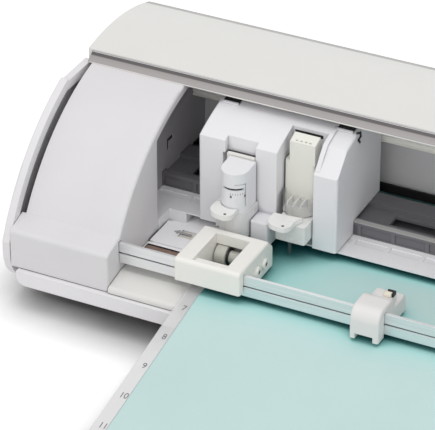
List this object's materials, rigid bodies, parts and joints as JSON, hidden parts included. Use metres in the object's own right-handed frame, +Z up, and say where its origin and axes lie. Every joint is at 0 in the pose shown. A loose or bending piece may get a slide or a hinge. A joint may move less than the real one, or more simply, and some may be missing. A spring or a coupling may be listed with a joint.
{
  "type": "die cutting machine",
  "caption": "Desktop mat-fed cutting machine: sliding lid, two-tool belt-driven carriage on a rail, pinch roller bar, feed roller and drooping cutting mat.",
  "frame": {"origin": "middle of the part's footprint, mat included, on the table under the feet", "axes": "+X to the machine's right, +Y to its back, +Z up"},
  "size_m": [0.57, 0.342, 0.1254],
  "materials": {
    "casing_white": "satin",
    "tower_white": "satin",
    "cover_white": "satin gloss",
    "track_dark": "matte",
    "frame_grey": "matte",
    "panel_grey": "matte",
    "bed_white": "satin",
    "strip_cream": "smooth",
    "rail_dark": "satin",
    "bar_metal": "anodised",
    "feed_brown": "grit",
    "bush_brass": "turned",
    "gear_white": "moulded",
    "motor_steel": "plated",
    "unit_white": "satin",
    "wheel_grey": "matte",
    "mat_grey": "matte",
    "mat_teal": "tacky matte",
    "lid_smoke": "gloss",
    "handle_grey": "satin",
    "carriage_white": "satin",
    "carriage_dark": "matte",
    "slider_black": "smooth",
    "tool_cream": "satin",
    "blade_white": "satin",
    "latch_white": "gloss",
    "holder_white": "satin",
    "belt_black": "matte",
    "pulley_metal": "turned",
    "board_green": "coated",
    "socket_black": "satin",
    "button_grey": "satin",
    "foot_rubber": "matte"
  },
  "bodies": {
    "base": {"base_tray": "casing_white", "rubber_feet": "foot_rubber", "left_side_panel": "casing_white", "right_side_panel": "casing_white", "left_lid_track": "track_dark", "right_lid_track": "track_dark", "left_tower_cover": "tower_white", "right_tower_cover": "tower_white", "top_cover": "cover_white", "rear_cover": "casing_white", "rear_lower_cover": "casing_white", "back_panel": "panel_grey", "left_frame_plate": "frame_grey", "right_frame_plate": "frame_grey", "platform": "bed_white", "cutting_strip": "strip_cream", "paper_guide": "bed_white", "carriage_rail": "rail_dark", "roller_bar": "bar_metal", "feed_bushes": "bush_brass", "feed_motor": "motor_steel", "left_roller_housing": "unit_white", "drive_belt": "belt_black", "carriage_motor": "motor_steel", "idler_bracket": "frame_grey", "circuit_board": "board_green", "button_board": "board_green", "data_socket": "socket_black", "power_socket": "socket_black"},
    "lid_front": {"lid_front_leaf": "lid_smoke", "lid_handle_rail": "handle_grey"},
    "lid_rear": {"lid_rear_leaf": "lid_smoke"},
    "feed_shaft": {"feed_roller": "feed_brown", "feed_gear": "gear_white"},
    "pinion": {"feed_pinion": "bush_brass"},
    "left_pinch": {"left_pinch_wheel": "wheel_grey"},
    "right_unit": {"right_roller_housing": "unit_white"},
    "right_pinch": {"right_pinch_wheel": "wheel_grey"},
    "middle_unit": {"middle_roller_housing": "unit_white"},
    "middle_pinch": {"middle_pinch_wheel": "wheel_grey"},
    "mat": {"mat_carrier": "mat_grey", "mat_face": "mat_teal"},
    "carriage": {"carriage_cover": "carriage_white", "carriage_frame": "carriage_dark", "carriage_sliders": "slider_black", "belt_clamp": "slider_black"},
    "motor_pulley": {"motor_pulley": "pulley_metal"},
    "idler_pulley": {"idler_pulley": "pulley_metal"},
    "left_tool": {"left_tool_holder": "holder_white", "blade_housing": "blade_white"},
    "left_latch": {"left_latch": "latch_white"},
    "right_tool": {"right_tool_holder": "holder_white", "square_tool": "tool_cream"},
    "right_latch": {"right_latch": "latch_white"},
    "drawer": {"drawer": "casing_white"},
    "power_button": {"power_button": "button_grey"},
    "pause_button": {"pause_button": "button_grey"},
    "load_button": {"load_button": "button_grey"},
    "unload_button": {"unload_button": "button_grey"}
  },
  "joints": [
    {"name": "lid_slide", "type": "hinge", "parent": "base", "child": "lid_front", "pos_m": [0, 0.108, -0.015], "axis": [1, 0, 0], "range_deg": [0, 44.5]},
    {"name": "lid_rear_slide", "type": "hinge", "parent": "base", "child": "lid_rear", "pos_m": [0, 0.108, -0.015], "axis": [1, 0, 0], "range_deg": [0, 21.11]},
    {"name": "mat_feed", "type": "slide", "parent": "base", "child": "mat", "axis": [0, 1, 0], "range_m": [-0.12, 0]},
    {"name": "feed_spin", "type": "hinge", "parent": "base", "child": "feed_shaft", "pos_m": [0, 0.0235, 0.0272], "axis": [1, 0, 0], "continuous": true},
    {"name": "pinion_spin", "type": "hinge", "parent": "base", "child": "pinion", "pos_m": [-0.238, 0.0235, 0.044], "axis": [1, 0, 0], "continuous": true},
    {"name": "left_pinch_spin", "type": "hinge", "parent": "base", "child": "left_pinch", "pos_m": [-0.16, 0.0235, 0.0441], "axis": [1, 0, 0], "continuous": true},
    {"name": "right_unit_slide", "type": "slide", "parent": "base", "child": "right_unit", "axis": [1, 0, 0], "range_m": [-0.08, 0.03]},
    {"name": "right_pinch_spin", "type": "hinge", "parent": "right_unit", "child": "right_pinch", "pos_m": [0.16, 0.0235, 0.0441], "axis": [1, 0, 0], "continuous": true},
    {"name": "middle_unit_slide", "type": "slide", "parent": "base", "child": "middle_unit", "axis": [1, 0, 0], "range_m": [-0.06, 0.06]},
    {"name": "middle_pinch_spin", "type": "hinge", "parent": "middle_unit", "child": "middle_pinch", "pos_m": [-0.0533, 0.01725, 0.0421], "axis": [1, 0, 0], "continuous": true},
    {"name": "carriage_slide", "type": "slide", "parent": "base", "child": "carriage", "axis": [1, 0, 0], "range_m": [-0.018, 0.31]},
    {"name": "motor_pulley_spin", "type": "hinge", "parent": "base", "child": "motor_pulley", "pos_m": [0.248, 0.127, 0.045], "axis": [0, 0, 1], "continuous": true},
    {"name": "idler_pulley_spin", "type": "hinge", "parent": "base", "child": "idler_pulley", "pos_m": [-0.248, 0.127, 0.045], "axis": [0, 0, 1], "continuous": true},
    {"name": "left_tool_lift", "type": "slide", "parent": "carriage", "child": "left_tool", "axis": [0, 0, 1], "range_m": [-0.003, 0]},
    {"name": "left_latch_pull", "type": "slide", "parent": "left_tool", "child": "left_latch", "axis": [0, -1, 0], "range_m": [0, 0.006]},
    {"name": "right_tool_lift", "type": "slide", "parent": "carriage", "child": "right_tool", "axis": [0, 0, 1], "range_m": [-0.003, 0]},
    {"name": "right_latch_pull", "type": "slide", "parent": "right_tool", "child": "right_latch", "axis": [0, -1, 0], "range_m": [0, 0.006]},
    {"name": "drawer_slide", "type": "slide", "parent": "base", "child": "drawer", "axis": [0, -1, 0], "range_m": [0, 0.02]},
    {"name": "power_button_press", "type": "slide", "parent": "base", "child": "power_button", "axis": [0, 1, 0], "range_m": [0, 0.0012], "stiffness_N_per_m": 500},
    {"name": "pause_button_press", "type": "slide", "parent": "base", "child": "pause_button", "axis": [0, 1, 0], "range_m": [0, 0.0012], "stiffness_N_per_m": 500},
    {"name": "load_button_press", "type": "slide", "parent": "base", "child": "load_button", "axis": [0, 1, 0], "range_m": [0, 0.0012], "stiffness_N_per_m": 500},
    {"name": "unload_button_press", "type": "slide", "parent": "base", "child": "unload_button", "axis": [0, 1, 0], "range_m": [0, 0.0012], "stiffness_N_per_m": 500}
  ],
  "couplings": [
    {"joint": "lid_rear_slide", "follows": "lid_slide", "ratio": 0.47},
    {"joint": "feed_spin", "follows": "mat_feed", "rad_per_m": -125},
    {"joint": "pinion_spin", "follows": "mat_feed", "rad_per_m": 312.5},
    {"joint": "left_pinch_spin", "follows": "mat_feed", "rad_per_m": 142.86},
    {"joint": "right_pinch_spin", "follows": "mat_feed", "rad_per_m": 142.86},
    {"joint": "middle_pinch_spin", "follows": "mat_feed", "rad_per_m": 200},
    {"joint": "motor_pulley_spin", "follows": "carriage_slide", "rad_per_m": 166.67},
    {"joint": "idler_pulley_spin", "follows": "carriage_slide", "rad_per_m": 166.67}
  ]
}
